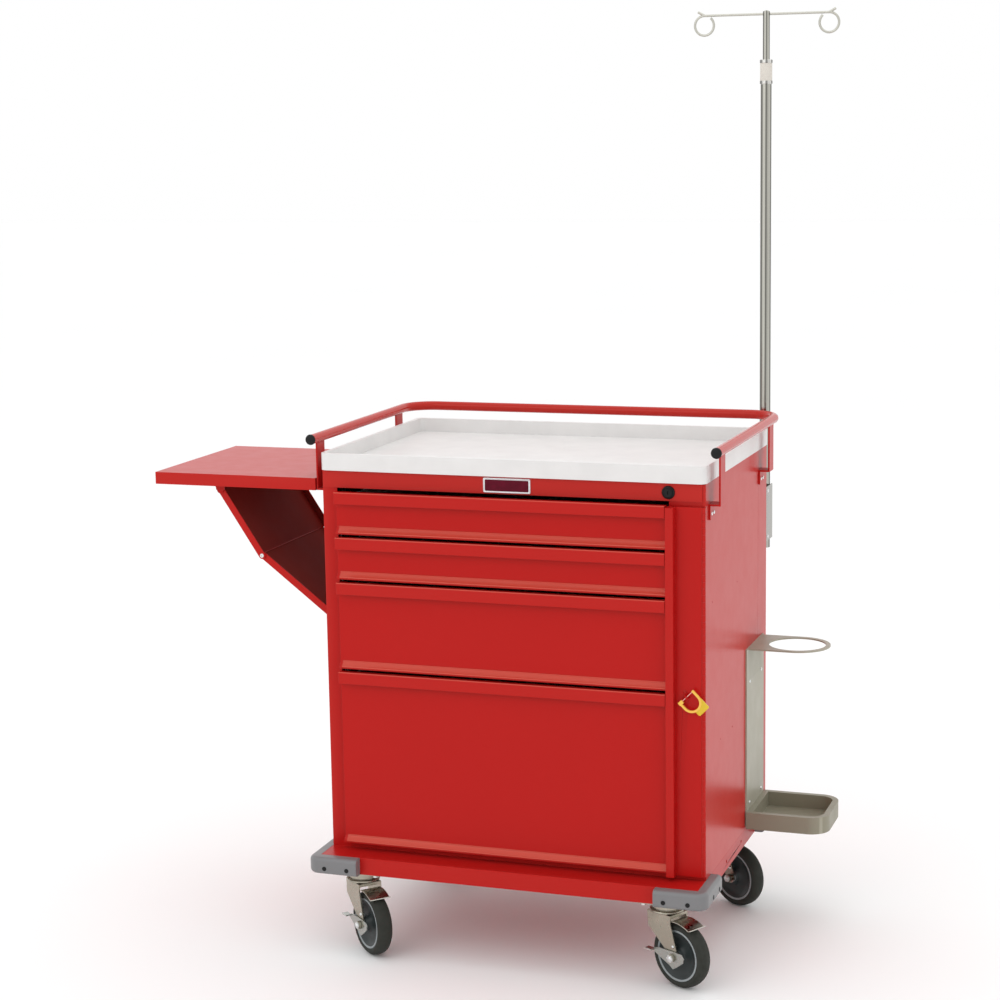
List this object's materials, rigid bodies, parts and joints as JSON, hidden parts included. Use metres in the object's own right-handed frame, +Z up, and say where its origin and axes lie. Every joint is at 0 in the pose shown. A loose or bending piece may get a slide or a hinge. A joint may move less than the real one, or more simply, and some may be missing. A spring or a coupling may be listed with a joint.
{
  "type": "crash cart",
  "caption": "Wheeled steel emergency cabinet with drawers, a breakaway locking flap, railed work top, fold-down side shelf, telescopic drip pole and gas cylinder holder.",
  "frame": {"origin": "on the floor, at the centre of the whole cart's footprint box", "axes": "+Z up, drawers open toward -Y, side shelf toward -X, drip pole at the back right"},
  "size_m": [1.3, 0.6709, 1.8277],
  "materials": {
    "red_paint": "glossy powder coat",
    "bumper_grey": "satin moulded bumper",
    "black_plastic": "satin",
    "chrome": "polished",
    "zinc": "bright zinc plate",
    "stainless": "satin stainless steel",
    "tray_white": "smooth moulded plastic",
    "beige_paint": "satin powder coat",
    "drawer_grey": "satin powder coat",
    "hub_plastic": "satin moulded plastic",
    "tyre": "matt soft rubber",
    "seal_yellow": "moulded plastic"
  },
  "bodies": {
    "cabinet": {"base_frame": "red_paint", "corner_bumpers": "bumper_grey", "bumper_plugs": "black_plastic", "side_panel_left": "red_paint", "side_panel_right": "red_paint", "back_panel": "red_paint", "front_frame": "red_paint", "slide_uprights": "zinc", "top_deck": "red_paint", "work_tray": "tray_white", "guard_rail": "red_paint", "rail_end_caps": "black_plastic", "rail_brackets": "red_paint", "panel_screws": "zinc", "name_plate": "chrome", "lock_bezel": "black_plastic", "slide_channels": "zinc", "flap_fixed_leaf": "red_paint", "hinge_pins": "zinc", "shelf_wall_brackets": "red_paint", "iv_bracket": "stainless", "iv_tube": "stainless", "oxygen_bracket": "beige_paint", "oxygen_cup": "beige_paint", "caster_plates": "zinc"},
    "lock": {"lock_plug": "black_plastic"},
    "flap": {"flap_panel": "red_paint", "flap_moving_leaf": "red_paint"},
    "seal": {"break_seal": "seal_yellow"},
    "shelf": {"side_shelf": "red_paint"},
    "upper_link": {"brace_upper": "red_paint"},
    "lower_link": {"brace_lower": "red_paint"},
    "pole_rod": {"iv_rod": "stainless"},
    "collar": {"iv_collar": "stainless"},
    "drawer_1": {"drawer_1_front": "red_paint", "drawer_1_box": "drawer_grey"},
    "slide_1": {"slide_mid_1": "zinc"},
    "drawer_2": {"drawer_2_front": "red_paint", "drawer_2_box": "drawer_grey"},
    "slide_2": {"slide_mid_2": "zinc"},
    "drawer_3": {"drawer_3_front": "red_paint", "drawer_3_box": "drawer_grey"},
    "slide_3": {"slide_mid_3": "zinc"},
    "drawer_4": {"drawer_4_front": "red_paint", "drawer_4_box": "drawer_grey"},
    "slide_4": {"slide_mid_4": "zinc"},
    "caster_fl": {"fork_fl": "zinc"},
    "wheel_fl": {"hub_fl": "hub_plastic", "tyre_fl": "tyre"},
    "caster_fr": {"fork_fr": "zinc"},
    "wheel_fr": {"hub_fr": "hub_plastic", "tyre_fr": "tyre"},
    "caster_bl": {"fork_bl": "zinc"},
    "wheel_bl": {"hub_bl": "hub_plastic", "tyre_bl": "tyre"},
    "caster_br": {"fork_br": "zinc"},
    "wheel_br": {"hub_br": "hub_plastic", "tyre_br": "tyre"},
    "brake_fl": {"brake_lever_fl": "zinc"},
    "brake_fr": {"brake_lever_fr": "zinc"}
  },
  "joints": [
    {"name": "drawer_1_slide", "type": "slide", "parent": "cabinet", "child": "drawer_1", "axis": [0, -1, 0], "range_m": [0, 0.44]},
    {"name": "mid_1_slide", "type": "slide", "parent": "cabinet", "child": "slide_1", "axis": [0, -1, 0], "range_m": [0, 0.22]},
    {"name": "drawer_2_slide", "type": "slide", "parent": "cabinet", "child": "drawer_2", "axis": [0, -1, 0], "range_m": [0, 0.44]},
    {"name": "mid_2_slide", "type": "slide", "parent": "cabinet", "child": "slide_2", "axis": [0, -1, 0], "range_m": [0, 0.22]},
    {"name": "drawer_3_slide", "type": "slide", "parent": "cabinet", "child": "drawer_3", "axis": [0, -1, 0], "range_m": [0, 0.44]},
    {"name": "mid_3_slide", "type": "slide", "parent": "cabinet", "child": "slide_3", "axis": [0, -1, 0], "range_m": [0, 0.22]},
    {"name": "drawer_4_slide", "type": "slide", "parent": "cabinet", "child": "drawer_4", "axis": [0, -1, 0], "range_m": [0, 0.44]},
    {"name": "mid_4_slide", "type": "slide", "parent": "cabinet", "child": "slide_4", "axis": [0, -1, 0], "range_m": [0, 0.22]},
    {"name": "flap_hinge", "type": "hinge", "parent": "cabinet", "child": "flap", "pos_m": [0.4815, -0.2453, 0.56], "axis": [0, 0, 1], "range_deg": [0, 110]},
    {"name": "seal_swing", "type": "hinge", "parent": "flap", "child": "seal", "pos_m": [0.4515, -0.2596, 0.557], "axis": [-0.7071, 0, -0.7071], "range_deg": [0, 75]},
    {"name": "lock_turn", "type": "hinge", "parent": "cabinet", "child": "lock", "pos_m": [0.414, -0.2406, 0.938], "axis": [0, 1, 0], "range_deg": [0, 90]},
    {"name": "shelf_fold", "type": "hinge", "parent": "cabinet", "child": "shelf", "pos_m": [-0.297, -0.0376, 0.908], "axis": [0, -1, 0], "range_deg": [0, 90]},
    {"name": "upper_link_pivot", "type": "hinge", "parent": "shelf", "child": "upper_link", "pos_m": [-0.519, -0.0306, 0.9], "axis": [0, -1, 0], "range_deg": [0, 62]},
    {"name": "lower_link_pivot", "type": "hinge", "parent": "cabinet", "child": "lower_link", "pos_m": [-0.288, -0.0306, 0.657], "axis": [0, -1, 0], "range_deg": [-50, 0]},
    {"name": "pole_height", "type": "slide", "parent": "cabinet", "child": "pole_rod", "axis": [0, 0, 1], "range_m": [-0.04, 0.45]},
    {"name": "collar_twist", "type": "hinge", "parent": "cabinet", "child": "collar", "pos_m": [0.47, 0.3224, 1.7], "axis": [0, 0, 1], "range_deg": [0, 90]},
    {"name": "swivel_fl", "type": "hinge", "parent": "cabinet", "child": "caster_fl", "pos_m": [-0.207, -0.2606, 0.145], "axis": [0, 0, 1], "continuous": true},
    {"name": "wheel_fl_spin", "type": "hinge", "parent": "caster_fl", "child": "wheel_fl", "pos_m": [-0.17876, -0.28603, 0.0635], "axis": [0.6691, 0.7431, 0], "continuous": true},
    {"name": "brake_fl_pedal", "type": "hinge", "parent": "caster_fl", "child": "brake_fl", "pos_m": [-0.17876, -0.28603, 0.0635], "axis": [-0.6691, -0.7431, 0], "range_deg": [0, 18]},
    {"name": "swivel_fr", "type": "hinge", "parent": "cabinet", "child": "caster_fr", "pos_m": [0.413, -0.2606, 0.145], "axis": [0, 0, 1], "continuous": true},
    {"name": "wheel_fr_spin", "type": "hinge", "parent": "caster_fr", "child": "wheel_fr", "pos_m": [0.44655, -0.27844, 0.0635], "axis": [0.4695, 0.8829, 0], "continuous": true},
    {"name": "brake_fr_pedal", "type": "hinge", "parent": "caster_fr", "child": "brake_fr", "pos_m": [0.44655, -0.27844, 0.0635], "axis": [-0.4695, -0.8829, 0], "range_deg": [0, 18]},
    {"name": "swivel_bl", "type": "hinge", "parent": "cabinet", "child": "caster_bl", "pos_m": [-0.207, 0.2094, 0.145], "axis": [0, 0, 1], "continuous": true},
    {"name": "wheel_bl_spin", "type": "hinge", "parent": "caster_bl", "child": "wheel_bl", "pos_m": [-0.17706, 0.18601, 0.0635], "axis": [0.6157, 0.788, 0], "continuous": true},
    {"name": "swivel_br", "type": "hinge", "parent": "cabinet", "child": "caster_br", "pos_m": [0.413, 0.2094, 0.145], "axis": [0, 0, 1], "continuous": true},
    {"name": "wheel_br_spin", "type": "hinge", "parent": "caster_br", "child": "wheel_br", "pos_m": [0.44591, 0.1904, 0.0635], "axis": [0.5, 0.866, 0], "continuous": true}
  ],
  "couplings": [
    {"joint": "mid_1_slide", "follows": "drawer_1_slide", "ratio": 0.5},
    {"joint": "mid_2_slide", "follows": "drawer_2_slide", "ratio": 0.5},
    {"joint": "mid_3_slide", "follows": "drawer_3_slide", "ratio": 0.5},
    {"joint": "mid_4_slide", "follows": "drawer_4_slide", "ratio": 0.5},
    {"joint": "upper_link_pivot", "follows": "shelf_fold", "ratio": 0.6767},
    {"joint": "lower_link_pivot", "follows": "shelf_fold", "ratio": -0.5389}
  ]
}
